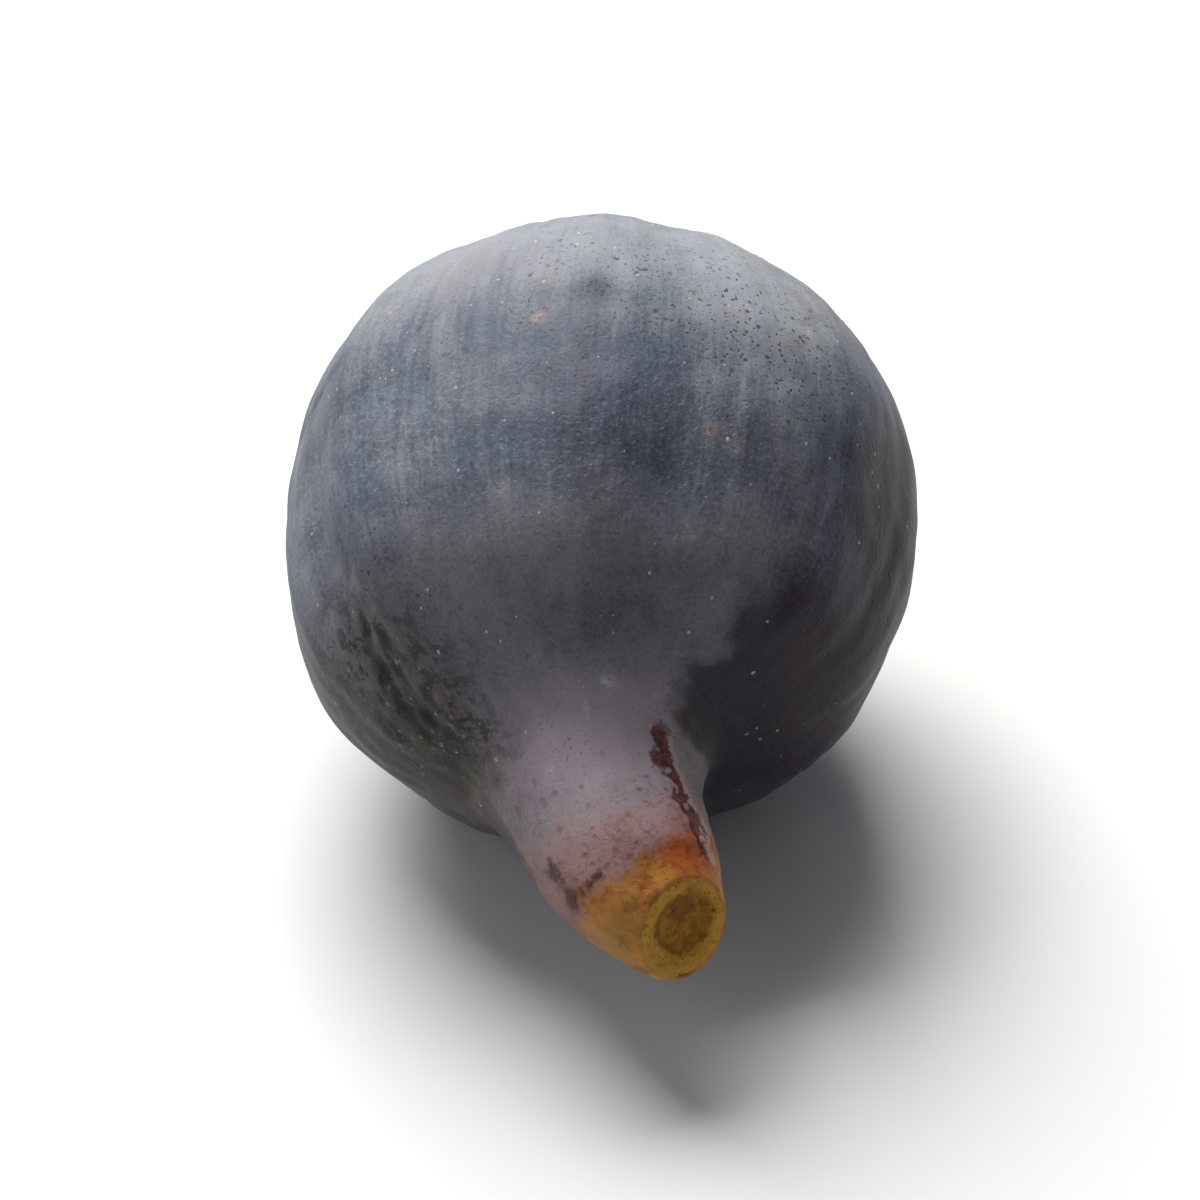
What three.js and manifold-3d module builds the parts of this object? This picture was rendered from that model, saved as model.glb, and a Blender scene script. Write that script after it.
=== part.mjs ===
import * as THREE from 'three';
import { mergeVertices } from 'three/addons/utils/BufferGeometryUtils.js';
import Module from 'manifold-3d';

// A fresh fig, picked with its cut stalk and lying on its side.
// Millimetres, +Z up, the stalk towards -Y, the eye towards +Y and a little up.
// The fig is first built along its own straight axis: "along" is the place on that axis, 0 at the
// widest ring, negative towards the eye, and "angle" goes round it from +X, 90 degrees on top.

// Driving dimensions
const BODY_RADIUS = 25;
const NECK_RADIUS = 7.4;
const CUT_RADIUS = 4.3;
const NECK_START = 13.5;
const NECK_LENGTH = 28.2;
const EYE_PIT_RADIUS = 1.6;
const EYE_PIT_DEPTH = 2.2;
const EYE_FACE = -0.886 * BODY_RADIUS;
const CUT_HOLLOW = 0.4;
const CUT_END = NECK_START + NECK_LENGTH;
const LIE_TILT = 17;
const REST_DEPTH = 0.8;

// The neck curves away from the body's axis: how far it turns, to which side, and the slant of the cut
const NECK_TURN = 38;
const NECK_SIDE = 16;
const CUT_SLOPE = 0.32;
const CUT_SLOPE_SIDE = 75;

// Facets round the fig and along its side, and steps that the neck's axis is worked out in
const SIDES = 72;
const PROFILE_ROWS = 40;
const NECK_STEPS = 120;

// Rings of the eye: radius as a share of the pit's, depth under the eye's face as a share of the pit's
const EYE_RINGS = [[0, 1], [0.6, 0.95], [0.95, 0.55], [1.2, 0.05], [2.2, 0.07], [2.9, 0.18]];

// Rings of the body, as shares of the body's radius: radius, then place along the axis
const BODY_RINGS = [
  [0.220, -0.884], [0.352, -0.890], [0.616, -0.790], [0.840, -0.568], [0.972, -0.288], [1.000, 0.004],
  [0.968, 0.304], [0.856, 0.568], [0.668, 0.770], [0.484, 0.900],
];

// Rings of the neck: radius as a share of the neck's, place as a share of the curved stretch
const NECK_RINGS = [
  [1.270, 0.395], [1.060, 0.520], [0.970, 0.660], [0.880, 0.790], [0.740, 0.900], [0.600, 0.985],
];

// Rings of the cut: radius as a share of the cut's, depth as a share of its slight hollow
const CUT_RINGS = [[0.94, 0], [0.78, 0.12], [0.4, 0.88], [0, 1]];

// Soft dents and swellings of the body: angle, place along the axis, their reach, and the height
const SWELLINGS = [
  { angle: 190, along: 15, angleReach: 20, alongReach: 6, height: 0.8 },
  { angle: 169, along: -5, angleReach: 9, alongReach: 5, height: -0.6 },
  { angle: 154, along: 9, angleReach: 5, alongReach: 9, height: -0.6 },
  { angle: 20, along: 17, angleReach: 22, alongReach: 6, height: 0.4 },
  { angle: 300, along: -8, angleReach: 24, alongReach: 9, height: 0.5 },
];

// Low ribs that run from the stalk to the eye: how many go round, their height and where they start
const RIBS = [
  { count: 2, height: 0.30, start: 0 },
  { count: 5, height: 0.14, start: 100 },
  { count: 8, height: 0.15, start: 50 },
  { count: 13, height: 0.17, start: 70 },
];

// The ribs rise between these radii, as shares of the body's
const RIBS_FROM = 0.35;
const RIBS_FULL = 0.95;

// Facets of the neck, lower than the ribs, and the stretch of the axis that they show on
const NECK_FACETS = [
  { count: 3, height: 0.14, start: 80 },
  { count: 7, height: 0.12, start: 0 },
];
const FACETS_FROM = NECK_START + 8;
const FACETS_FULL = NECK_START + 14;
const FACETS_SINK = CUT_END - 8;
const FACETS_END = CUT_END - 1;

// The slant of the cut grows over this stretch of the axis
const SLANT_FROM = CUT_END - 5;
const SLANT_FULL = CUT_END - 0.5;

// Scales that close the eye. Outline as shares of a scale's length or width.
const SCALE_THICKNESS = 0.7;
const SCALE_ROOT = 0.25;
const SCALE_ROOT_WIDTH = 0.3;
const SCALE_BELLY = 0.15;
const SCALE_BELLY_WIDTH = 0.62;
const SCALE_SHOULDER = 0.55;
const SCALE_SIDE_FACETS = 3;
const SCALE_RINGS = [
  { count: 6, length: 3.2, width: 3.4, tipRadius: 1.4, lift: 16, sink: 0.75, turn: 12 },
  { count: 5, length: 2.2, width: 2.0, tipRadius: 0.7, lift: -30, sink: 0.5, turn: 48 },
];
const SCALE_SPREAD = { length: 0.1, width: 0.08, turn: 6 };
const SCALE_SEED = 7;

const MERGE_WITHIN = 1e-4;
const LEVEL_WITHIN = 1e-3;
const ALONG = new THREE.Vector3(0, 0, 1);

const radians = THREE.MathUtils.degToRad;
const smooth = THREE.MathUtils.smoothstep;

// Repeatable draws between -1 and 1, by a multiplicative congruence
function drawsFrom(seed) {
  const factor = 16807;
  const modulus = 2147483647;
  let state = seed;
  return () => {
    state = (state * factor) % modulus;
    return (state / modulus) * 2 - 1;
  };
}

// Half outline from the eye pit's floor, over the body and neck, to the middle of the cut
function figOutline() {
  const asPoint = ([radius, along]) => new THREE.Vector2(radius, along);
  const eye = EYE_RINGS.map(([radius, depth]) => [radius * EYE_PIT_RADIUS, EYE_FACE + depth * EYE_PIT_DEPTH]);
  const body = BODY_RINGS.map(([radius, along]) => [radius * BODY_RADIUS, along * BODY_RADIUS]);
  const neck = NECK_RINGS.map(([radius, share]) => [radius * NECK_RADIUS, NECK_START + share * NECK_LENGTH]);
  const cut = CUT_RINGS.map(([radius, depth]) => [radius * CUT_RADIUS, CUT_END - depth * CUT_HOLLOW]);
  const side = new THREE.SplineCurve([...body, ...neck].map(asPoint));
  return [...eye.map(asPoint), ...side.getPoints(PROFILE_ROWS), ...cut.map(asPoint)];
}

// Height of a set of waves that go round the axis
function waves(set, angle) {
  return set
    .map(({ count, height, start }) => height * Math.cos(count * angle - radians(start)))
    .reduce((sum, height) => sum + height, 0);
}

// Height of the skin above the turned shape at one place
function reliefAt(angle, along, radius) {
  const onBody = smooth(radius, RIBS_FROM * BODY_RADIUS, RIBS_FULL * BODY_RADIUS);
  const onNeck = smooth(along, FACETS_FROM, FACETS_FULL) * (1 - smooth(along, FACETS_SINK, FACETS_END));
  let height = onBody * waves(RIBS, angle) + onNeck * waves(NECK_FACETS, angle);
  for (const { angle: middle, along: place, angleReach, alongReach, height: top } of SWELLINGS) {
    const aside = THREE.MathUtils.euclideanModulo(angle - radians(middle) + Math.PI, 2 * Math.PI) - Math.PI;
    height += top * Math.exp(-((aside / radians(angleReach)) ** 2) - ((along - place) / alongReach) ** 2);
  }
  return height;
}

// How far the slanting cut draws a place back towards the body
function cutBack(angle, along, radius) {
  const nearCut = smooth(along, SLANT_FROM, SLANT_FULL);
  return CUT_SLOPE * radius * Math.cos(angle - radians(CUT_SLOPE_SIDE)) * nearCut;
}

// Where the neck's axis points, a share of the way to the cut
function facingAt(share) {
  const turned = radians(NECK_TURN) * smooth(share, 0, 1);
  const side = radians(NECK_SIDE);
  const aside = Math.sin(turned);
  return new THREE.Vector3(aside * Math.cos(side), aside * Math.sin(side), Math.cos(turned));
}

// Points along the neck's axis, evenly spaced
function neckAxis() {
  const points = [new THREE.Vector3(0, 0, NECK_START)];
  for (let i = 0; i < NECK_STEPS; i += 1) {
    const step = facingAt((i + 0.5) / NECK_STEPS).multiplyScalar(NECK_LENGTH / NECK_STEPS);
    points.push(points[i].clone().add(step));
  }
  return points;
}

const NECK_AXIS = neckAxis();

// Carries a point from the straight axis to the curved one
function bend(point) {
  const share = THREE.MathUtils.clamp((point.z - NECK_START) / NECK_LENGTH, 0, 1);
  if (share === 0) return point;
  const step = Math.min(Math.floor(share * NECK_STEPS), NECK_STEPS - 1);
  const middle = NECK_AXIS[step].clone().lerp(NECK_AXIS[step + 1], share * NECK_STEPS - step);
  const facing = facingAt(share);
  const beyond = Math.max(point.z - CUT_END, 0);
  const turn = new THREE.Quaternion().setFromUnitVectors(ALONG, facing);
  return point.setZ(0).applyQuaternion(turn).add(middle).addScaledVector(facing, beyond);
}

// The skin as one closed surface
function figBody() {
  const outline = figOutline();
  const shape = new THREE.LatheGeometry(outline, SIDES);
  shape.rotateX(radians(90));
  const normals = outline.map((_, row) => {
    const before = outline[Math.max(row - 1, 0)];
    const after = outline[Math.min(row + 1, outline.length - 1)];
    return new THREE.Vector2(after.y - before.y, before.x - after.x).normalize();
  });
  const position = shape.attributes.position;
  const point = new THREE.Vector3();
  for (let i = 0; i < position.count; i += 1) {
    const row = i % outline.length;
    point.fromBufferAttribute(position, i);
    const radius = outline[row].x;
    const angle = Math.atan2(point.y, point.x);
    const height = reliefAt(angle, point.z, radius);
    point.x += Math.cos(angle) * normals[row].x * height;
    point.y += Math.sin(angle) * normals[row].x * height;
    point.z += normals[row].y * height - cutBack(angle, point.z, radius);
    if (radius === 0) point.set(0, 0, outline[row].y);
    bend(point);
    position.setXYZ(i, point.x, point.y, point.z);
  }
  return shape;
}

// One pointed scale: its root just behind the origin, tip along +X, outer face up
function scaleShape(length, width) {
  const root = -SCALE_ROOT * length;
  const rootSide = SCALE_ROOT_WIDTH * width;
  const belly = SCALE_BELLY * length;
  const bellySide = SCALE_BELLY_WIDTH * width;
  const shoulder = SCALE_SHOULDER * length;
  const outline = new THREE.Shape();
  outline.moveTo(root, -rootSide);
  outline.quadraticCurveTo(belly, -bellySide, shoulder, -rootSide);
  outline.lineTo(length, 0);
  outline.lineTo(shoulder, rootSide);
  outline.quadraticCurveTo(belly, bellySide, root, rootSide);
  return new THREE.ExtrudeGeometry(outline, {
    depth: SCALE_THICKNESS,
    bevelEnabled: false,
    curveSegments: SCALE_SIDE_FACETS,
  });
}

// The rings of scales, with their roots sunk in the face of the eye and their tips over the pit
function eyeScales() {
  const draw = drawsFrom(SCALE_SEED);
  const scales = [];
  for (const ring of SCALE_RINGS) {
    for (let i = 0; i < ring.count; i += 1) {
      const length = ring.length * (1 + SCALE_SPREAD.length * draw());
      const scale = scaleShape(length, ring.width * (1 + SCALE_SPREAD.width * draw()));
      const around = radians(ring.turn + (360 / ring.count) * i + SCALE_SPREAD.turn * draw());
      scale.rotateY(radians(-ring.lift));
      scale.translate(-(ring.tipRadius + length), 0, -ring.sink);
      scale.rotateX(radians(180));
      scale.rotateZ(around);
      scale.translate(0, 0, EYE_FACE);
      scales.push(scale);
    }
  }
  return scales;
}

const wasm = await Module();
wasm.setup();

function asSolid(geometry) {
  const bare = geometry.clone();
  bare.deleteAttribute('normal');
  bare.deleteAttribute('uv');
  const merged = mergeVertices(bare, MERGE_WITHIN);
  return new wasm.Manifold(new wasm.Mesh({
    numProp: 3,
    vertProperties: new Float32Array(merged.attributes.position.array),
    triVerts: new Uint32Array(merged.index.array),
  }));
}

function asGeometry(solid) {
  const mesh = solid.getMesh();
  const geometry = new THREE.BufferGeometry();
  geometry.setAttribute('position', new THREE.BufferAttribute(new Float32Array(mesh.vertProperties), 3));
  geometry.setIndex(new THREE.BufferAttribute(new Uint32Array(mesh.triVerts), 1));
  geometry.computeVertexNormals();
  return geometry;
}

// Middle of the level face at the given height
function levelMiddle(geometry, height) {
  const face = new THREE.Box2();
  const position = geometry.attributes.position;
  const corner = new THREE.Vector3();
  for (let i = 0; i < position.count; i += 1) {
    corner.fromBufferAttribute(position, i);
    if (corner.z < height + LEVEL_WITHIN) face.expandByPoint(new THREE.Vector2(corner.x, corner.y));
  }
  return face.getCenter(new THREE.Vector2());
}

// The fig laid on its side, with the small flat that it rests on cut below and its middle at the origin
function layDown(solid) {
  const lying = asGeometry(solid);
  lying.rotateX(radians(90 + LIE_TILT));
  lying.computeBoundingBox();
  const { min, max } = lying.boundingBox;
  const restHeight = min.z + REST_DEPTH;
  const below = new THREE.BoxGeometry(max.x - min.x, max.y - min.y, 2 * REST_DEPTH);
  below.translate((min.x + max.x) / 2, (min.y + max.y) / 2, min.z);
  const rested = asGeometry(asSolid(lying).subtract(asSolid(below)));
  const middle = levelMiddle(rested, restHeight);
  return rested.translate(-middle.x, -middle.y, -restHeight);
}

let whole = asSolid(figBody());
for (const scale of eyeScales()) whole = whole.add(asSolid(scale));

const skin = new THREE.MeshStandardMaterial({ color: 0x4b4a58, roughness: 0.7, metalness: 0 });
const fig = new THREE.Mesh(layDown(whole), skin);
fig.name = 'fig';

const group = new THREE.Group();
group.name = 'fresh_fig';
group.add(fig);

export default group;
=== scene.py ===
"""A fresh fig on a pale floor: its skin, the scales of its eye and its cut stalk."""

import math

import bpy
import numpy as np
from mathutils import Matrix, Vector


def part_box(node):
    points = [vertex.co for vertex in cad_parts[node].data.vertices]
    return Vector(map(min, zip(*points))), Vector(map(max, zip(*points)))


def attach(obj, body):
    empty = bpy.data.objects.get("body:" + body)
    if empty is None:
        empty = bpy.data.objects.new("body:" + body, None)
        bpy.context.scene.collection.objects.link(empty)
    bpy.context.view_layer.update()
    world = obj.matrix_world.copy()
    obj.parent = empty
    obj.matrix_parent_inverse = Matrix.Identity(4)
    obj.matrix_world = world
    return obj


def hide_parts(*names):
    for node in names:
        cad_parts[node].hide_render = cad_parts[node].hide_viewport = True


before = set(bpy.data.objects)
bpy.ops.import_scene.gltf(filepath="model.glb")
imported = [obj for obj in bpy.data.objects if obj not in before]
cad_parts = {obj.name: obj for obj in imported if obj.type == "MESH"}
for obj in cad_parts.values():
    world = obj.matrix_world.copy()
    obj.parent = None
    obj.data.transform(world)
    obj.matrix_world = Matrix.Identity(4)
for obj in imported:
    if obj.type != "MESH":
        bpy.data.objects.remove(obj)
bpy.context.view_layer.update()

MM = 0.001
FULL_TURN = 2 * math.pi

# The fig's form in millimetres, as in the solid's source. "along" is the place on the fig's own axis, 0 at
# the widest ring and negative towards the eye. "angle" goes round that axis from +X, 90 degrees on top.
BODY_RADIUS = 25.0
NECK_RADIUS = 7.4
CUT_RADIUS = 4.3
NECK_START = 13.5
NECK_LENGTH = 28.2
EYE_PIT_RADIUS = 1.6
EYE_PIT_DEPTH = 2.2
EYE_FACE = -0.886 * BODY_RADIUS
CUT_HOLLOW = 0.4
CUT_END = NECK_START + NECK_LENGTH
LIE_TILT = 17.0
NECK_TURN = 38.0
NECK_SIDE = 16.0
CUT_SLOPE = 0.32
CUT_SLOPE_SIDE = 75.0
NECK_STEPS = 120

EYE_RINGS = [(0, 1), (0.6, 0.95), (0.95, 0.55), (1.2, 0.05), (2.2, 0.07), (2.9, 0.18)]
BODY_RINGS = [
    (0.220, -0.884), (0.352, -0.890), (0.616, -0.790), (0.840, -0.568), (0.972, -0.288), (1.000, 0.004),
    (0.968, 0.304), (0.856, 0.568), (0.668, 0.770), (0.484, 0.900),
]
NECK_RINGS = [(1.270, 0.395), (1.060, 0.520), (0.970, 0.660), (0.880, 0.790), (0.740, 0.900), (0.600, 0.985)]
CUT_RINGS = [(0.94, 0), (0.78, 0.12), (0.4, 0.88), (0, 1)]

# Angle, place along the axis, reach in angle and along the axis, height
SWELLINGS = [
    (190, 15, 20, 6, 0.8),
    (169, -5, 9, 5, -0.6),
    (154, 9, 5, 9, -0.6),
    (20, 17, 22, 6, 0.4),
    (300, -8, 24, 9, 0.5),
]

# How many go round, their height, and the angle where they start
RIBS = [(2, 0.30, 0), (5, 0.14, 100), (8, 0.15, 50), (13, 0.17, 70)]
RIBS_FROM = 0.35
RIBS_FULL = 0.95
NECK_FACETS = [(3, 0.14, 80), (7, 0.12, 0)]
FACETS_FROM = NECK_START + 8
FACETS_FULL = NECK_START + 14
FACETS_SINK = CUT_END - 8
FACETS_END = CUT_END - 1
SLANT_FROM = CUT_END - 5
SLANT_FULL = CUT_END - 0.5

# The scales of the eye, placed as in the solid's source
SCALE_THICKNESS = 0.7
SCALE_RINGS = [
    dict(count=6, length=3.2, width=3.4, tip_radius=1.4, lift=16, sink=0.75, turn=12),
    dict(count=5, length=2.2, width=2.0, tip_radius=0.7, lift=-30, sink=0.5, turn=48),
]
SCALE_SPREAD = dict(length=0.1, width=0.08, turn=6)
SCALE_SEED = 7

# Fineness of the outline, of the skin and of the plain form that gives the resting place
OUTLINE_STEPS = 400
SKIN_SIDES = 400
SKIN_ROWS = 236
PLAIN_SIDES = 144
PLAIN_ROWS = 300

# How much longer than wide the skin's rubbed streaks are
STREAK_STRETCH = 12.0

# How the skin turns in over the cut's rim: share of the rim's radius, drop
RIM_TURN = [(0.95, 0.1), (0.92, 0.4), (0.90, 1.4)]


def smooth(value, low, high):
    """Rises from 0 at low to 1 at high."""
    share = np.clip((value - low) / (high - low), 0, 1)
    return share * share * (3 - 2 * share)


def patch(angle, along, spot):
    """1 in the middle of a soft patch (angle, along, reach in angle, reach along), 0 away from it."""
    middle, place, angle_reach, along_reach = spot
    aside = (angle - math.radians(middle) + math.pi) % FULL_TURN - math.pi
    return np.exp(-(aside / math.radians(angle_reach)) ** 2 - ((along - place) / along_reach) ** 2)


def sector(angle, start, end, soft):
    """1 between two angles in degrees, 0 outside, with soft sides."""
    degrees = (np.degrees(angle) + 180) % 360 - 180
    return smooth(degrees, start - soft, start + soft) * (1 - smooth(degrees, end - soft, end + soft))


def round_axis(count):
    """Evenly spaced angles once round the axis."""
    return np.linspace(0, FULL_TURN, count, endpoint=False)


def waves(parts, angle):
    """Height of a set of waves that go round the axis."""
    return sum(height * np.cos(count * angle - math.radians(start)) for count, height, start in parts)


def spline(points, count):
    """A smooth curve through the points, with the given number of even steps between its ends."""
    points = np.array(points, float)
    last = len(points) - 1
    place = np.linspace(0, last, count + 1)
    span = np.minimum(place.astype(int), last - 1)
    t = (place - span)[:, None]
    before, start = points[np.maximum(span - 1, 0)], points[span]
    end, after = points[span + 1], points[np.minimum(span + 2, last)]
    slope_in, slope_out = (end - before) / 2, (after - start) / 2
    cubic = 2 * start - 2 * end + slope_in + slope_out
    square = -3 * start + 3 * end - 2 * slope_in - slope_out
    return ((cubic * t + square) * t + slope_in) * t + start


def fig_outline():
    """Half outline, radius and place, from the eye pit's floor to the middle of the cut."""
    eye = [(r * EYE_PIT_RADIUS, EYE_FACE + d * EYE_PIT_DEPTH) for r, d in EYE_RINGS]
    body = [(r * BODY_RADIUS, a * BODY_RADIUS) for r, a in BODY_RINGS]
    neck = [(r * NECK_RADIUS, NECK_START + s * NECK_LENGTH) for r, s in NECK_RINGS]
    cut = [(r * CUT_RADIUS, CUT_END - d * CUT_HOLLOW) for r, d in CUT_RINGS]
    return np.vstack([eye, spline(body + neck, OUTLINE_STEPS), cut])


RIPPLE_WAVES = 28
RIPPLE_SPREAD = (0.7, 1.3)


def ripple(points, size, seed):
    """Smooth seeded noise, mostly between -1 and 1, with features of about the given size."""
    draw = np.random.default_rng(seed)
    facing = draw.normal(size=(RIPPLE_WAVES, 3))
    facing *= (draw.uniform(*RIPPLE_SPREAD, RIPPLE_WAVES) / np.linalg.norm(facing, axis=1))[:, None]
    shift = draw.uniform(0, FULL_TURN, RIPPLE_WAVES)
    total = np.zeros(points.shape[:-1])
    for way, start in zip(facing, shift):
        total += np.sin(points @ way * (math.pi / size) + start)
    return total / math.sqrt(RIPPLE_WAVES)


def facing_at(share):
    """Where the neck's axis points, a share of the way to the cut."""
    turned = math.radians(NECK_TURN) * smooth(share, 0, 1)
    side = math.radians(NECK_SIDE)
    return np.stack([np.sin(turned) * math.cos(side), np.sin(turned) * math.sin(side), np.cos(turned)], -1)


def neck_axis():
    """Points along the neck's axis, evenly spaced."""
    steps = facing_at((np.arange(NECK_STEPS) + 0.5) / NECK_STEPS) * NECK_LENGTH / NECK_STEPS
    start = np.array([0, 0, NECK_START])
    return np.vstack([start, start + np.cumsum(steps, axis=0)])


NECK_AXIS = neck_axis()


def bend(points):
    """Carries points from the straight axis to the curved one."""
    along = points[..., 2]
    share = np.clip((along - NECK_START) / NECK_LENGTH, 0, 1)
    shares = np.linspace(0, 1, NECK_STEPS + 1)
    middle = np.stack([np.interp(share, shares, NECK_AXIS[:, i]) for i in range(3)], -1)
    facing = facing_at(share)
    level = points * [1, 1, 0]
    pivot = np.cross(np.broadcast_to([0.0, 0.0, 1.0], facing.shape), facing)
    rise = facing[..., 2:3]
    turned = level * rise + np.cross(pivot, level)
    turned += pivot * np.sum(pivot * level, -1, keepdims=True) / (1 + rise)
    turned += middle + facing * np.maximum(along - CUT_END, 0)[..., None]
    return np.where((share > 0)[..., None], turned, points)


def lie(points):
    """Lays the fig on its side, with its stalk towards -Y and low."""
    tilt = math.radians(LIE_TILT)
    x, y, z = points[..., 0], points[..., 1], points[..., 2]
    forward = -z * math.cos(tilt) - y * math.sin(tilt)
    up = y * math.cos(tilt) - z * math.sin(tilt)
    return np.stack([x, forward, up], -1)


def form_relief(angle, along, radius):
    """Height of the skin above the turned shape, as in the solid."""
    on_body = smooth(radius, RIBS_FROM * BODY_RADIUS, RIBS_FULL * BODY_RADIUS)
    on_neck = smooth(along, FACETS_FROM, FACETS_FULL) * (1 - smooth(along, FACETS_SINK, FACETS_END))
    height = on_body * waves(RIBS, angle) + on_neck * waves(NECK_FACETS, angle)
    for *spot, top in SWELLINGS:
        height = height + top * patch(angle, along, spot)
    return height


def cut_back(angle, along, radius):
    """How far the slanting cut draws a place back towards the body."""
    near_cut = smooth(along, SLANT_FROM, SLANT_FULL)
    return CUT_SLOPE * radius * np.cos(angle - math.radians(CUT_SLOPE_SIDE)) * near_cut


OUTLINE = fig_outline()
OUTLINE_NORMAL = np.stack([np.gradient(OUTLINE[:, 1]), -np.gradient(OUTLINE[:, 0])], -1)
OUTLINE_NORMAL /= np.linalg.norm(OUTLINE_NORMAL, axis=1)[:, None]
OUTLINE_PATH = np.concatenate([[0], np.cumsum(np.linalg.norm(np.diff(OUTLINE, axis=0), axis=1))])
CUT_START = len(OUTLINE) - len(CUT_RINGS)
SKIN_END = OUTLINE_PATH[CUT_START]


def outline_at(path):
    """Radius and place along the axis at a distance over the skin from the eye."""
    return np.interp(path, OUTLINE_PATH, OUTLINE[:, 0]), np.interp(path, OUTLINE_PATH, OUTLINE[:, 1])


def path_at(along):
    """Distance over the skin from the eye to a place along the axis, past the eye's hollow."""
    first = len(EYE_RINGS)
    return np.interp(along, OUTLINE[first:CUT_START, 1], OUTLINE_PATH[first:CUT_START])


# Fine relief that only the render carries: veins, soft unevenness, pits, wrinkles, creases and cracks.
# It fades out towards the eye's hollow and the cut, between these two radii.
FINE_FROM = 3.5
FINE_FULL = 7.0
PITTED = (153, 19, 14, 5.5)
CREASED_NECK = (90, 30, 400, 7)
NOTCH = (161, -5.1, 9, 0.7)
NOTCH_DEPTH = 0.3
# How many veins go round, their height, and their shift in radians
BODY_VEINS = [(31, 0.03, 0), (47, 0.025, 1.3)]
NECK_VEINS = [(19, 0.025, 0)]
# Unevenness: its height, or the angle in radians by which a line strays, then the size of its features
# and its seed
VEIN_WANDER = (0.02, 9, 3)
CRACK_WANDER = (0.05, 1.4, 16)
CREASE_WANDER = (0.03, 2.4, 18)
BROAD_UNEVEN = (0.09, 7, 11)
SMALL_UNEVEN = (0.04, 2.6, 12)
GRAIN_UNEVEN = (0.02, 0.9, 19)
PIT_UNEVEN = (0.16, 0.9, 13)
NECK_WRINKLES = (0.04, 0.8, 14)
CRACK_SPREAD = (0.5, 0.8, 15)
# How the grain and the neck's wrinkles are drawn out along the axis
GRAIN_STRETCH = [1, 1, 0.5]
WRINKLE_STRETCH = [1, 1, 0.3]
# The rough places between the pits rise no higher than this share of their unevenness
PIT_TOP = 0.4
# Shares of the body's radius where its veins begin and reach their full height
VEINS_FROM = 0.3
VEINS_FULL = 0.8
# Lines of (angle, place along the axis), width, depth
CREASES = [
    ([(147, 9.5), (148, 12), (152, 15.5), (158, 19), (161, 22)], 1.0, 0.18),
    ([(41, -11), (48, -5.6), (50, -1.4)], 1.3, 0.08),
    ([(35, -2), (40, 3.1), (43, 6)], 1.2, 0.09),
    ([(26, 0), (29, 4.7), (30, 8.5)], 1.1, 0.09),
]
CRACK_LINE = [(54, 26.0), (52, 28.4), (46, 31.1), (42, 34.5), (42, 37.3), (34, 39.5)]
CRACK_WIDTH = 0.82
CRACK_DEPTH = 0.3
# Usual, least and greatest share of the cracks' width from place to place
CRACK_SHARES = (0.9, 0.3, 1.8)
# How far beside the cracks their pale rim lies
CRACK_SHIFT = -0.75
# How far a line takes to fade at its ends
LINE_FADE = 1.0
# Where a line breaks off: size of the gaps, their seed, and the noise at which it is gone and whole
CRACK_GAPS = (0.9, 17, -1.7, -0.3)
CREASE_GAPS = (2.2, 20, -1.3, 0.6)


def uneven(points, kind):
    """Height of one kind of unevenness."""
    height, size, seed = kind
    return height * ripple(points, size, seed)


def unbroken(points, gaps):
    """1 where a line is whole, 0 in its gaps."""
    size, seed, gone, whole = gaps
    return smooth(ripple(points, size, seed), gone, whole)


def veins(parts, angle):
    """Height of fine veins that go round the axis."""
    return sum(height * np.cos(count * angle + shift) for count, height, shift in parts)


def beside_line(line, width, angle, along, radius):
    """1 along a line of (angle, along) points on the skin, 0 well over a width away from it."""
    line = np.array(line, float)
    middle = np.radians(np.interp(along, line[:, 1], line[:, 0]))
    aside = ((angle - middle + math.pi) % FULL_TURN - math.pi) * radius
    first, last = line[0, 1], line[-1, 1]
    begun = smooth(along, first - LINE_FADE, first + LINE_FADE)
    ended = smooth(along, last - LINE_FADE, last + LINE_FADE)
    return np.exp(-(aside / width) ** 2) * begun * (1 - ended)


def crack_share(angle, along, radius, straight):
    """Ragged share of the dark cracks on the neck's side, from 0 to 1."""
    wander = angle + uneven(straight, CRACK_WANDER)
    usual, least, most = CRACK_SHARES
    width = CRACK_WIDTH * np.clip(usual + uneven(straight, CRACK_SPREAD), least, most)
    return beside_line(CRACK_LINE, width, wander, along, radius) * unbroken(straight, CRACK_GAPS)


def crease_shares(angle, along, radius, straight):
    """Share of each crease on the body's sides, from 0 to 1, with its depth."""
    wander = angle + uneven(straight, CREASE_WANDER)
    whole = unbroken(straight, CREASE_GAPS)
    for line, width, depth in CREASES:
        yield beside_line(line, width, wander, along, radius) * whole, depth
    yield patch(angle, along, NOTCH), NOTCH_DEPTH


def fine_relief(angle, along, radius, straight):
    """Height of what is too fine for the solid."""
    on_body = smooth(radius, VEINS_FROM * BODY_RADIUS, VEINS_FULL * BODY_RADIUS)
    wander = angle + uneven(straight, VEIN_WANDER)
    height = on_body * (veins(BODY_VEINS, wander) + uneven(straight, BROAD_UNEVEN))
    height += uneven(straight, SMALL_UNEVEN) + uneven(straight * GRAIN_STRETCH, GRAIN_UNEVEN)
    pits = np.minimum(uneven(straight, PIT_UNEVEN), PIT_UNEVEN[0] * PIT_TOP)
    height += patch(angle, along, PITTED) * pits
    wrinkles = veins(NECK_VEINS, wander) + uneven(straight * WRINKLE_STRETCH, NECK_WRINKLES)
    height += patch(angle, along, CREASED_NECK) * wrinkles
    for share, depth in crease_shares(angle, along, radius, straight):
        height -= depth * share
    height -= CRACK_DEPTH * crack_share(angle, along, radius, straight)
    return height


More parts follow.
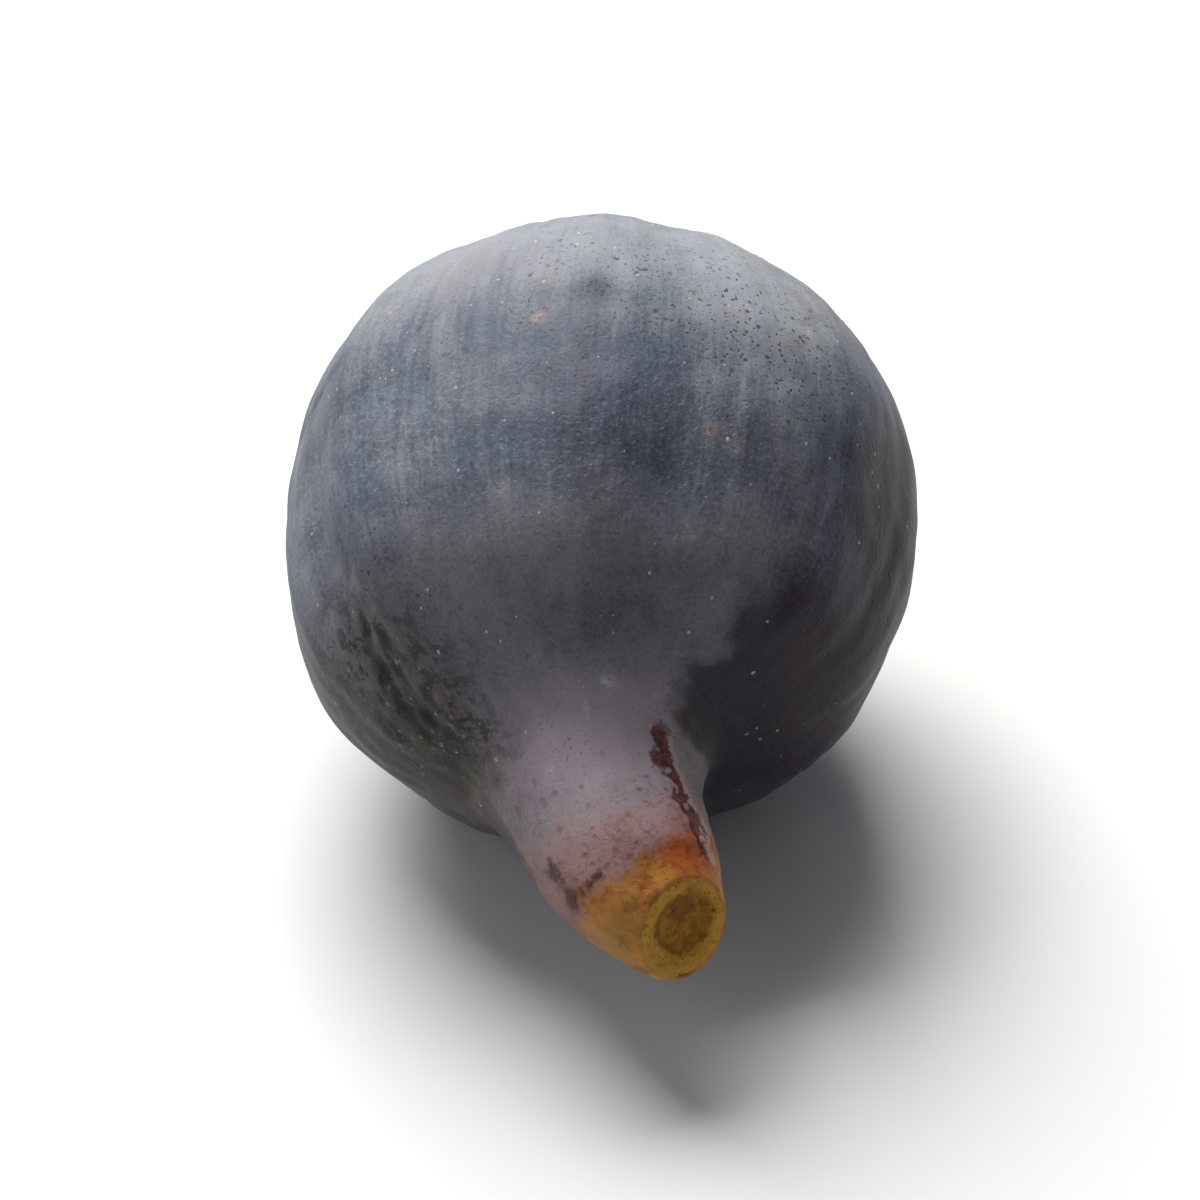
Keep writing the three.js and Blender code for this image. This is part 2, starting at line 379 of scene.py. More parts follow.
def skin_places(angle, path, fine=True):
    """Straight-axis points on the skin, with their place along the axis and radius."""
    radius, along = outline_at(path)
    out = np.interp(path, OUTLINE_PATH, OUTLINE_NORMAL[:, 0])
    up = np.interp(path, OUTLINE_PATH, OUTLINE_NORMAL[:, 1])
    height = form_relief(angle, along, radius)
    straight = np.stack([radius * np.cos(angle), radius * np.sin(angle), along], -1)
    if fine:
        height = height + fine_relief(angle, along, radius, straight) * smooth(radius, FINE_FROM, FINE_FULL)
    wide = radius + out * height
    place = along + up * height - cut_back(angle, along, radius)
    return np.stack([wide * np.cos(angle), wide * np.sin(angle), place], -1), along, radius


def plain_box():
    """Box of the lying fig before it is moved onto its resting place, in millimetres."""
    angle, path = np.meshgrid(round_axis(PLAIN_SIDES), np.linspace(0, SKIN_END, PLAIN_ROWS))
    lying = lie(bend(skin_places(angle, path, fine=False)[0])).reshape(-1, 3)
    return lying.min(axis=0), lying.max(axis=0)


def resting_shift():
    """Moves the lying fig to where the solid rests."""
    low, high = plain_box()
    node_low, node_high = (np.array(corner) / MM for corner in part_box("fig"))
    sideways = (node_low[0] + node_high[0] - low[0] - high[0]) / 2
    return np.array([sideways, node_high[1] - high[1], node_high[2] - high[2]])


SHIFT = resting_shift()


def to_frame(straight):
    """Straight-axis millimetres to the frame's metres."""
    return (lie(bend(straight)) + SHIFT) * MM


def skin_point(angle, path):
    """Point of the finished skin, in metres."""
    return to_frame(skin_places(np.asarray(angle, float), np.asarray(path, float))[0])


def new_object(name, data):
    """An object in the scene."""
    thing = bpy.data.objects.new(name, data)
    bpy.context.collection.objects.link(thing)
    return thing


def new_mesh(name, points, faces, material):
    """A smooth-shaded mesh object."""
    mesh = bpy.data.meshes.new(name)
    mesh.from_pydata(np.asarray(points, float).reshape(-1, 3).tolist(), [], faces)
    mesh.polygons.foreach_set("use_smooth", [True] * len(mesh.polygons))
    mesh.materials.append(material)
    mesh.update()
    return new_object(name, mesh)


def make_piece(name, points, faces, material):
    """One mesh piece that rides on the fig's body."""
    piece = new_mesh(name, points, faces, material)
    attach(piece, "root")
    return piece


def add_values(piece, name, values, kind="FLOAT", field="value"):
    """One number for each vertex, for the piece's material to read."""
    attribute = piece.data.attributes.new(name, kind, "POINT")
    attribute.data.foreach_set(field, np.asarray(values, np.float32).reshape(-1))


def add_vectors(piece, name, values):
    """Three numbers for each vertex."""
    add_values(piece, name, values, "FLOAT_VECTOR", "vector")


def grid_faces(rows, sides, first=0, closed=True):
    """Faces between rows of points, each row closed on itself or open."""
    faces = []
    for row in range(rows - 1):
        low = first + row * sides
        high = low + sides
        for side in range(sides if closed else sides - 1):
            onward = (side + 1) % sides
            faces.append((low + side, low + onward, high + onward, high + side))
    return faces


class Shader:
    """Short calls that add nodes to one material."""

    def __init__(self, name):
        self.material = bpy.data.materials.new(name)
        self.material.use_nodes = True
        self.tree = self.material.node_tree
        self.tree.nodes.clear()

    def add(self, kind, inputs, **settings):
        node = self.tree.nodes.new(kind)
        for name, value in settings.items():
            setattr(node, name, value)
        for key, value in inputs.items():
            if isinstance(value, bpy.types.NodeSocket):
                self.tree.links.new(value, node.inputs[key])
            else:
                node.inputs[key].default_value = value
        return node

    def value(self, name):
        return self.add("ShaderNodeAttribute", {}, attribute_name=name).outputs["Fac"]

    def vector(self, name):
        return self.add("ShaderNodeAttribute", {}, attribute_name=name).outputs["Vector"]

    def noise(self, vector, size, detail=2.0, roughness=0.5, distortion=0.0):
        settings = {"Vector": vector, "Scale": 1 / size, "Detail": detail, "Roughness": roughness,
                    "Distortion": distortion}
        return self.add("ShaderNodeTexNoise", settings).outputs["Fac"]

    def spots(self, vector, size, low, high):
        """Round spots of uneven size, one or none in each cell: 1 in a spot, 0 outside."""
        cell = self.add("ShaderNodeTexVoronoi", {"Vector": vector, "Scale": 1 / size})
        drawn = self.add("ShaderNodeSeparateColor", {0: cell.outputs["Color"]}).outputs[0]
        shrunk = self.plus(cell.outputs["Distance"], self.times(drawn, high))
        return self.step(shrunk, low, high, 1.0, 0.0)

    def math(self, operation, first, second=0.0):
        return self.add("ShaderNodeMath", {0: first, 1: second}, operation=operation).outputs[0]

    def plus(self, *terms):
        total = terms[0]
        for term in terms[1:]:
            total = self.math("ADD", total, term)
        return total

    def times(self, *terms):
        total = terms[0]
        for term in terms[1:]:
            total = self.math("MULTIPLY", total, term)
        return total

    def around_zero(self, noise, amount):
        """Noise as a number that runs from about minus to plus half of amount."""
        return self.math("MULTIPLY", self.math("SUBTRACT", noise, 0.5), amount)

    def step(self, value, low, high, to_low=0.0, to_high=1.0):
        """A soft step from to_low to to_high while the value goes from low to high."""
        inputs = {"Value": value, "From Min": low, "From Max": high, "To Min": to_low, "To Max": to_high}
        return self.add("ShaderNodeMapRange", inputs, interpolation_type="SMOOTHSTEP").outputs[0]

    def mix(self, share, first, second):
        inputs = {0: share, 6: first, 7: second}
        return self.add("ShaderNodeMix", inputs, data_type="RGBA").outputs[2]

    def bump(self, height, distance):
        return self.add("ShaderNodeBump", {"Height": height, "Distance": distance}).outputs["Normal"]

    def finish(self, color, roughness, normal=None, **fixed):
        inputs = {"Base Color": color, "Roughness": roughness}
        inputs.update({name.replace("_", " "): value for name, value in fixed.items()})
        if normal is not None:
            inputs["Normal"] = normal
        surface = self.add("ShaderNodeBsdfPrincipled", inputs)
        self.add("ShaderNodeOutputMaterial", {"Surface": surface.outputs[0]})
        return self.material


def rgb(red, green, blue):
    """A colour given on the 0 to 255 scale, as linear light."""
    return tuple(((c / 255 + 0.055) / 1.055) ** 2.4 for c in (red, green, blue)) + (1.0,)


# Colours
BLOOM_BLUE = rgb(115, 128, 149)
BLOOM_GREY = rgb(146, 150, 156)
BLOOM_DUSK = rgb(120, 118, 124)
BLOOM_MAUVE = rgb(152, 141, 148)
SKIN_PURPLE = rgb(35, 31, 41)
SKIN_BROWN = rgb(48, 38, 40)
SKIN_GREEN = rgb(38, 39, 30)
PIT_OLIVE = rgb(112, 108, 88)
EYE_MAROON = rgb(76, 40, 36)
EYE_PLUM = rgb(50, 34, 42)
EYE_DARK = rgb(40, 26, 25)
NECK_PINK = rgb(142, 110, 106)
MARK_PALE = rgb(196, 192, 198)
STREAK_TAN = rgb(120, 100, 66)
PIT_DARK = rgb(28, 27, 24)
NECK_SPOT = rgb(92, 62, 64)
NECK_RUST = rgb(104, 66, 60)
STALK_OCHRE = rgb(166, 106, 42)
STALK_PALE = rgb(178, 122, 56)
STALK_ORANGE = rgb(158, 74, 22)
STALK_RED = rgb(124, 52, 30)
STALK_BROWN = rgb(104, 58, 24)
STALK_OLIVE = rgb(116, 90, 34)
SCAB_BROWN = rgb(62, 36, 36)
CRACK_DARK = rgb(44, 20, 22)
CRACK_RED = rgb(110, 46, 40)
CRACK_RIM = rgb(170, 150, 144)
SPECK_PINK = rgb(168, 132, 124)
SCALE_RED = rgb(78, 34, 30)
SCALE_BROWN = rgb(56, 32, 28)
SCALE_FIBRE = rgb(112, 68, 54)
MARGIN_PINK = rgb(206, 158, 140)
MARGIN_STRAW = rgb(214, 184, 150)
LENTICEL_CREAM = rgb(176, 170, 160)
LENTICEL_TAN = rgb(150, 128, 110)
LENTICEL_DIM = rgb(140, 138, 140)
LENTICEL_PINK = rgb(156, 116, 104)
PITH_AMBER = rgb(124, 80, 0)
PITH_GOLD = rgb(146, 104, 8)
PITH_BROWN = rgb(106, 64, 0)
RIM_PALE = rgb(176, 130, 48)
RIM_TAN = rgb(150, 108, 30)
RING_BROWN = rgb(84, 54, 8)
FIBRE_BROWN = rgb(60, 42, 12)
FLOOR_GREY = rgb(214, 214, 212)
FLOOR_PALE = rgb(219, 219, 218)

# The bloom's unevenness: size of its features, how strong it is
CLOUDS = (12, 0.28)
MOTTLE = (4.0, 0.37)
RUBBED = (2.0, 0.24)
HAIRLINES = (0.5, 0.24)
GRAIN = (0.42, 0.68)
# How far the bloom hides the skin where it is thickest
BLOOM_HIDES = 0.94

# Depth of the materials' fine relief
SKIN_BUMP = 0.07 * MM
CUT_BUMP = 0.12 * MM
SCALE_BUMP = 0.08 * MM
LENTICEL_BUMP = 0.03 * MM


def bloom_cover(s, place, around):
    """How much of the skin the bloom covers, from 0 to 1: large patches, rubbed streaks and a fine grain."""
    cover = s.plus(
        s.value("bloom"),
        s.around_zero(s.noise(place, CLOUDS[0], 3), CLOUDS[1]),
        s.around_zero(s.noise(place, MOTTLE[0], 5, 0.6, 0.6), MOTTLE[1]),
        s.times(s.around_zero(s.noise(around, RUBBED[0], 3, 0.55, 0.5), RUBBED[1]), s.value("streaks")),
        s.times(s.around_zero(s.noise(around, HAIRLINES[0], 3, 0.6), HAIRLINES[1]), s.value("streaks")),
        s.around_zero(s.noise(place, GRAIN[0], 4, 0.8), GRAIN[1]),
    )
    return s.step(cover, 0.0, 1.0)


def bare_skin(s, place, around):
    """Colour of the skin under the bloom."""
    warm = s.step(s.noise(place, 8, 3), 0.45, 0.7, 0.0, 0.6)
    color = s.mix(warm, SKIN_PURPLE, SKIN_BROWN)
    color = s.mix(s.value("green"), color, SKIN_GREEN)
    ragged = s.plus(s.value("halo"), s.around_zero(s.noise(around, 1.4, 4, 0.65), 1.0),
                    s.around_zero(s.noise(place, 5, 4, 0.6), 1.6))
    color = s.mix(s.step(ragged, 0.1, 0.9), color, s.mix(warm, EYE_MAROON, EYE_PLUM))
    return s.mix(s.value("eye"), color, EYE_DARK)


def wax_color(s, place, bloom):
    """Colour of the bloom: blue-grey where thin, near-neutral grey where thick, mauve on the neck."""
    thick = s.step(s.plus(bloom, s.around_zero(s.noise(place, 7, 3, 0.55), 0.8)), 0.25, 0.85)
    color = s.mix(thick, BLOOM_BLUE, BLOOM_GREY)
    mauve = s.step(s.plus(s.value("mauve"), s.around_zero(s.noise(place, 4, 3), 0.6)), 0.25, 0.9)
    color = s.mix(s.value("dusk"), color, BLOOM_DUSK)
    return s.mix(mauve, color, BLOOM_MAUVE)


def neck_colors(s, place, color):
    """Pinkish-brown mottling that thickens towards the stalk."""
    fine = s.noise(place, 0.55, 4, 0.75)
    broad = s.noise(place, 3.0, 4, 0.6)
    near = s.plus(s.value("to_stalk"), s.around_zero(broad, 12.0), s.around_zero(fine, 10.0))
    color = s.mix(s.step(near, -9.0, -2.0, 0.0, 0.85), color, NECK_PINK)
    color = s.mix(s.step(near, -4.0, 1.5, 0.0, 0.7), color, NECK_RUST)
    grains = s.times(s.step(s.noise(place, 0.5, 3, 0.6), 0.54, 0.68), s.step(s.value("to_stalk"), -9.0, -3.0))
    color = s.mix(s.times(grains, 0.55), color, NECK_RUST)
    # Small pale marks on the neck's top
    pale_marks = s.times(s.value("pale_mark"), s.step(fine, 0.35, 0.6))
    color = s.mix(pale_marks, color, MARK_PALE)
    color = s.mix(s.times(s.value("streak"), s.step(fine, 0.3, 0.6)), color, STREAK_TAN)
    on_neck = s.step(s.value("to_stalk"), -13.0, -8.0)
    dots = s.times(s.spots(place, 0.9, 0.25, 0.55), on_neck)
    return s.mix(s.times(dots, 0.45), color, NECK_SPOT)


def stalk_colors(s, place, around, color):
    """The ochre stalk, with orange, red and brown patches, and the scabs and cracks beside it."""
    fine = s.noise(place, 0.5, 4, 0.75)
    small = s.noise(place, 1.0, 4, 0.7, 0.3)
    broad = s.noise(place, 2.4, 4, 0.6)
    edge = s.plus(s.value("to_stalk"), s.around_zero(broad, 7.0), s.around_zero(small, 4.0))
    ochre = s.mix(s.step(s.noise(around, 5.0, 4, 0.6), 0.36, 0.66), STALK_OCHRE, STALK_PALE)
    olive = s.step(s.plus(s.value("olive"), s.around_zero(broad, 0.8)), 0.2, 1.0, 0.0, 0.65)
    ochre = s.mix(olive, ochre, STALK_OLIVE)
    blotch = s.step(s.plus(broad, s.around_zero(small, 0.5)), 0.46, 0.70, 0.0, 0.65)
    ochre = s.mix(blotch, ochre, STALK_BROWN)
    ochre = s.mix(s.times(s.spots(place, 0.9, 0.10, 0.45), 0.35), ochre, STALK_RED)
    color = s.mix(s.step(edge, -1.2, 1.1), color, ochre)
    hot = s.mix(s.step(small, 0.42, 0.62), STALK_ORANGE, STALK_RED)
    orange = s.step(s.plus(s.value("orange"), s.around_zero(small, 0.9)), 0.12, 1.05)
    color = s.mix(s.times(orange, 0.9), color, hot)
    scab = s.step(s.plus(s.value("scab"), s.around_zero(small, 1.2), s.around_zero(fine, 0.8)), 0.2, 0.75)
    scab = s.times(scab, s.step(s.value("scab"), 0.02, 0.15))
    color = s.mix(s.times(scab, 0.85), color, SCAB_BROWN)
    color = s.mix(s.step(s.value("crack_edge"), 0.05, 0.45, 0.0, 0.6), color, CRACK_RIM)
    crack = s.step(s.plus(s.value("crack"), s.around_zero(small, 1.0), s.around_zero(fine, 1.0)), 0.1, 0.46)
    crack = s.times(crack, s.step(s.value("crack"), 0.02, 0.15))
    crust = s.mix(s.step(fine, 0.42, 0.62), CRACK_DARK, CRACK_RED)
    return s.mix(s.times(crack, 0.9), color, crust)


def skin_material():
    """Dark skin under an uneven waxy bloom, with pores, streaks, a mauve neck and an ochre stalk, and painted
    shade where the bloom is thinned on the flank beside the neck.
    """
    s = Shader("fig_skin")
    place = s.vector("straight")
    around = s.vector("around")
    bloom = bloom_cover(s, place, around)
    color = s.mix(s.times(bloom, BLOOM_HIDES), bare_skin(s, place, around), wax_color(s, place, bloom))

    pore_room = s.step(s.plus(s.value("pores"), s.noise(place, 4, 3)), 0.40, 0.90)
    grains = s.step(s.noise(place, 0.42, 2, 0.4), 0.60, 0.70)
    pores = s.math("MAXIMUM", s.times(s.spots(place, 0.9, 0.14, 0.36), 0.9), grains)
    color = s.mix(s.times(pores, pore_room, 0.85), color, SKIN_PURPLE)
    olive = s.times(s.spots(place, 0.8, 0.16, 0.40), s.value("pitted"))
    dark = s.times(s.step(s.noise(place, 1.5, 4, 0.65, 0.4), 0.47, 0.58), s.value("pitted"))
    color = s.mix(s.math("MINIMUM", dark, 0.78), color, PIT_DARK)
    color = s.mix(s.times(olive, 0.7), color, PIT_OLIVE)
    # The creases are darkened towards the bare skin's purple: painted shade in the creases
    crease = s.times(s.value("crease"), s.step(s.noise(place, 0.9, 4, 0.6), 0.35, 0.6, 0.3, 1.0))
    color = s.mix(s.math("MINIMUM", crease, 0.75), color, SKIN_PURPLE)
    specks = s.times(s.value("speck"), s.step(s.noise(place, 0.4, 3, 0.7), 0.40, 0.55))
    color = s.mix(s.math("MINIMUM", specks, 0.8), color, SPECK_PINK)
    color = neck_colors(s, place, color)
    color = stalk_colors(s, place, around, color)

    rough = s.step(bloom, 0.0, 1.0, 0.46, 0.70)
    crust = s.times(s.math("ADD", s.value("crack"), s.value("scab")), s.noise(place, 0.3, 3, 0.7))
    relief = s.plus(s.times(s.noise(place, 0.5, 4, 0.65), 0.8), s.times(pores, -0.5), s.times(olive, 0.5),
                    s.times(crust, 1.6))
    normal = s.bump(relief, SKIN_BUMP)
    return s.finish(color, rough, normal, Sheen_Weight=0.03, Sheen_Roughness=0.4, Specular_IOR_Level=0.18)


def make_skin():
    """The whole skin as one fine closed surface, which turns in over the cut's rim."""
    angle, path = np.meshgrid(round_axis(SKIN_SIDES), np.linspace(0, SKIN_END, SKIN_ROWS))
    straight, along, radius = skin_places(angle, path)
    for share, drop in RIM_TURN:
        inner = straight[SKIN_ROWS - 1:SKIN_ROWS] * [share, share, 1] - [0, 0, drop]
        straight = np.concatenate([straight, inner])
    extra = len(RIM_TURN)
    grids = (angle, path, along, radius)
    angle, path, along, radius = (np.concatenate([grid] + [grid[-1:]] * extra) for grid in grids)
    points = to_frame(straight)
    points[..., 2] = np.maximum(points[..., 2], 0)
    rows = SKIN_ROWS + extra
    faces = grid_faces(rows, SKIN_SIDES)
    faces.append(tuple(range(SKIN_SIDES)))
    faces.append(tuple(range((rows - 1) * SKIN_SIDES, rows * SKIN_SIDES))[::-1])
    skin = make_piece("fig_skin", points, faces, skin_material())
    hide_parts("fig")
    add_vectors(skin, "straight", straight)
    ring = [np.cos(angle) * BODY_RADIUS, np.sin(angle) * BODY_RADIUS, path / STREAK_STRETCH]
    add_vectors(skin, "around", np.stack(ring, -1))
    for name, values in skin_masks(angle, along, radius, straight).items():
        add_values(skin, name, values)


# Soft patches of the skin: angle, place along the axis, reach in angle and along, and how much
# Some of these are painted shade: the negative ones on the right side, at angles 352 to 26, and the one under
# the neck's left edge, at angle 188
BLOOM_AND_SHADE_PATCHES = [
    (112, -12, 24, 5, 0.04), (122, 7, 18, 9, 0.13), (92, -3, 14, 5, -0.06), (54, -9, 20, 5, 0.18),
    (56, -0.5, 12, 3.5, 0.18), (90, 7.5, 34, 4, -0.10), (88, 14, 30, 3, 0.09), (86, 20.3, 22, 2.4, -0.10),
    (26, 3, 9, 6, -0.25), (8, 1, 20, 13, -0.47), (56, 13, 16, 5, 0.10), (152, 20, 16, 5, -0.18),
    (166, 23, 16, 3.5, -0.22), (166, 12, 9, 7, 0.15), (90, -6.3, 4, 1.4, -0.30), (352, 13, 22, 8, -0.35),
    (88, 27, 34, 3.5, 0.20), (188, 31, 20, 7, -0.35), (186, 18, 14, 5, -0.20), (95, 25, 40, 3.5, 0.22),
    (94, 31, 70, 6, 0.34), (118, 17, 16, 4, 0.07),
]
# How thick the bloom is: everywhere, more on the top towards the eye, where the extra is partly painted sheen
# of the top light, less by the eye and underneath
BLOOM_BASE = 0.44
TOP_BLOOM_AND_SHEEN = 0.33
HALO_LOSS = 0.65
UNDER_LOSS = 0.25
# Painted shade on the flank beside the neck, made by thinning the bloom so that the dark skin shows: its
# angles with the softness of its sides, its ends along the axis
FLANK_SECTOR = (-25, 46, 9)
FLANK_BEGINS = (11, 19)
FLANK_ENDS = (24.0, 27.5)
# How ragged its outline is, and the unevenness that makes it so
FLANK_RAGGED = 0.8
FLANK_RAGS = [(1, 2.6, 22), (0.5, 1.1, 23)]
# How much the painted shade on the flank thins the bloom
FLANK_SHADE = 0.70
# Radius where the reddish halo and the dark ring round the eye begin and end
HALO_REACH = (4.0, 21.0)
EYE_REACH = (3.6, 7.5)
# Where the bloom turns duller, where its streaks fade and by how much, and where it turns mauve
DUSK_REACH = (7, 18)
DUSK_PATCHES = [(50, 7, 20, 5, 0.5), (118, -11, 20, 6, 0.35)]
STREAKS_FADE = (8, 19)
STREAKS_LOSS = 0.85
MAUVE_BODY = (5, 20)
MAUVE_NECK = (20, 30)
MAUVE_FAINT = 0.25
# How much less mauve the neck is under the painted shade on the flank
MAUVE_FLANK_SHADE = 0.7
# Patches that the skin's material reads by these names
MARKS = {
    "green": [(158, 20, 20, 8, 1.0), (60, 8, 14, 5, 0.3), (10, 10, 14, 6, 0.5)],
    "pores": [(60, -5, 22, 7, 0.42), (38, -1, 14, 6, 0.35), (95, -8, 14, 5, 0.2), (140, 14, 14, 5, 0.2)],
    "pitted": [(156, 18, 20, 4, 1.0), (156, 22.6, 22, 2.8, 0.9), (188, 18, 12, 4, 0.7)],
    "pale_mark": [(83, 23.1, 3, 0.25, 0.45), (93, 24.6, 1.2, 0.6, 0.45), (122, 27.6, 3, 0.3, 0.4)],
    "streak": [(185, 24.3, 15, 0.4, 0.55)],
    "speck": [(101, -3.6, 1.1, 0.5, 1.1), (67, 5.6, 1.0, 0.6, 0.8), (62, 6.6, 0.8, 0.4, 0.7)],
    "orange": [(54, 39.4, 34, 2.4, 1.4), (22, 36.6, 20, 2.2, 0.6), (112, 40.4, 12, 0.8, 0.6)],
    "olive": [(200, 39, 50, 3, 0.9), (150, 40.5, 30, 1.5, 0.6)],
    "scab": [(158, 33.6, 10, 1.2, 0.8), (166, 35.8, 14, 0.9, 0.8), (138, 36.6, 12, 0.6, 0.6),
             (96, 39.4, 10, 0.8, 0.35)],
}
# Where the ochre stalk begins, how much farther on it begins on its top, and its uneven edge
STALK_EDGE = 36.7
EDGE_REACH = 2.4
EDGE_PATCH = (85, 0, 55, 1)
EDGE_WAVES = [(3, 0.3, 0)]


def patches(spots, angle, along):
    """Sum of soft patches, each with its own weight."""
    return sum(amount * patch(angle, along, spot) for *spot, amount in spots)


def skin_masks(angle, along, radius, straight):
    """What the skin's material reads at each vertex."""
    eye_side = along < 0
    halo = (1 - smooth(radius, *HALO_REACH)) * eye_side
    under = smooth(-np.sin(angle), -0.3, 0.8)
    edge = STALK_EDGE + EDGE_REACH * patch(angle, 0, EDGE_PATCH) + waves(EDGE_WAVES, angle)
    bloom = BLOOM_BASE + patches(BLOOM_AND_SHADE_PATCHES, angle, along) - HALO_LOSS * halo
    # More bloom on the top towards the eye, partly a painted sheen of the top light
    bloom = bloom + TOP_BLOOM_AND_SHEEN * smooth(-along, -2, 16) * smooth(np.sin(angle), 0, 0.9)
    # Painted shade on the flank beside the neck: the bloom is thinned there so that the dark skin shows
    ragged = FLANK_RAGGED * sum(uneven(straight, kind) for kind in FLANK_RAGS)
    flank_shade = sector(angle + ragged / np.maximum(radius, 1), *FLANK_SECTOR)
    flank_shade = flank_shade * smooth(along, *FLANK_BEGINS) * (1 - smooth(along + ragged, *FLANK_ENDS))
    bloom = bloom - FLANK_SHADE * flank_shade
    beside_crack = crack_share(angle - CRACK_SHIFT / np.maximum(radius, 1), along, radius, straight)
    crack = crack_share(angle, along, radius, straight)
    creases = sum(share * depth for share, depth in crease_shares(angle, along, radius, straight))
    mauve = smooth(along, *MAUVE_NECK) + MAUVE_FAINT * smooth(along, *MAUVE_BODY)
    marks = {name: patches(spots, angle, along) for name, spots in MARKS.items()}
    return marks | {
        "bloom": bloom - UNDER_LOSS * under,
        "dusk": np.minimum(smooth(along, *DUSK_REACH) + patches(DUSK_PATCHES, angle, along), 1),
        "streaks": 1 - STREAKS_LOSS * smooth(along, *STREAKS_FADE),
        "halo": halo,
        "eye": (1 - smooth(radius, *EYE_REACH)) * eye_side,
        "mauve": mauve * (1 - MAUVE_FLANK_SHADE * flank_shade),
        "crack": crack,
        "crack_edge": np.maximum(beside_crack - crack, 0),
        # The crease mask also darkens the skin's colour: painted shade in the creases
        "crease": creases / NOTCH_DEPTH,
        "to_stalk": along - edge,
    }


# The cut face
CUT_SIDES = 96
CUT_ROWS = 26
CUT_FACE_RADIUS = 0.93 * CUT_RADIUS
# Share of the radius of the innermost ring, and how far the face's edge goes down inside the skin
CUT_MIDDLE = 0.02
CUT_WALL = 0.9
# Share of the way from the middle to the edge, depth below the rim
CUT_DEPTHS = [(0, 0.36), (0.45, 0.30), (0.7, 0.16), (0.86, 0.02), (1.0, 0.06)]
CUT_UNEVEN = (0.06, 0.8, 21)
KNIFE_STRETCH = [1, 0.4, 1]
# How much wider the pale rim is on one side, and the angle of that side
RIM_LEAN = 0.14
RIM_THICK_SIDE = 225


def cut_material():
    """Olive-brown pith inside a paler rim, with darker rings and fine fibre ends."""
    s = Shader("fig_cut")
    place = s.vector("straight")
    reach = s.value("reach")
    small = s.noise(place, 0.7, 4, 0.6)
    broad = s.noise(place, 2.0, 3, 0.6)
    ragged = s.plus(reach, s.around_zero(small, 0.25), s.around_zero(broad, 0.5))
    rim = s.step(ragged, 0.58, 0.78)
    inner = s.mix(s.step(small, 0.38, 0.62), PITH_AMBER, PITH_GOLD)
    inner = s.mix(s.step(broad, 0.42, 0.66), inner, PITH_BROWN)
    outer = s.mix(s.step(small, 0.4, 0.7), RIM_PALE, RIM_TAN)
    color = s.mix(rim, inner, outer)
    ring = s.step(s.math("ABSOLUTE", s.math("SUBTRACT", ragged, 0.58)), 0.0, 0.10, 1.0, 0.0)
    color = s.mix(s.times(ring, 0.4), color, RING_BROWN)
    fibres = s.spots(place, 0.34, 0.15, 0.5)
    color = s.mix(s.times(fibres, 0.35), color, FIBRE_BROWN)
    relief = s.plus(s.times(small, 0.8), s.times(fibres, -0.6))
    normal = s.bump(relief, CUT_BUMP)
    return s.finish(color, s.step(small, 0.3, 0.7, 0.4, 0.6), normal, Specular_IOR_Level=0.12)


def make_cut_face():
    """The slanting cut: a raised rim, a slight hollow and an uneven, knife-drawn surface."""
    angle, share = np.meshgrid(round_axis(CUT_SIDES), np.linspace(1.0, CUT_MIDDLE, CUT_ROWS))
    radius = share * CUT_FACE_RADIUS
    depth = np.interp(share, *zip(*CUT_DEPTHS))
    straight = np.stack([radius * np.cos(angle), radius * np.sin(angle), CUT_END - depth], -1)
    straight[..., 2] += uneven(straight * KNIFE_STRETCH, CUT_UNEVEN) * share
    straight[..., 2] -= cut_back(angle, np.full_like(radius, CUT_END), radius)
    wall = straight[:1].copy()
    wall[..., 2] -= CUT_WALL
    points = np.vstack([wall, straight])
    faces = grid_faces(CUT_ROWS + 1, CUT_SIDES)
    faces.append(tuple(range(CUT_ROWS * CUT_SIDES, (CUT_ROWS + 1) * CUT_SIDES)))
    faces.append(tuple(range(CUT_SIDES))[::-1])
    face = make_piece("fig_cut_face", to_frame(points), faces, cut_material())
    add_vectors(face, "straight", points)
    thicker = 1 + RIM_LEAN * np.cos(angle - math.radians(RIM_THICK_SIDE))
    add_values(face, "reach", np.vstack([share[:1], share * thicker]))


# The scales of the eye
SCALE_ROWS = 24
SCALE_COLUMNS = 17
UPSIDE_DOWN = [1, -1, -1]
# How far a root runs back as a share of the length, how far margins and tip curl up, how high the root stands
# over its neighbours', how deep it ends, and how ragged the margins are
SCALE_ROOT = 0.25
MARGIN_CURL = 0.5
TIP_CURL = 0.15
ROOT_RISE = 0.14
ROOT_DIVE = 0.5
RAGGED = 0.12
# Thickness at the edge, and how much more there is in the middle
SCALE_EDGE = 0.14
SCALE_BODY = 0.25
# Where along a scale its margins come free, and from where it narrows to its tip, which keeps this share
MARGIN_FREE = (0.3, 0.55)
NARROW_FROM = 0.4
TIP_SHARE = 0.004


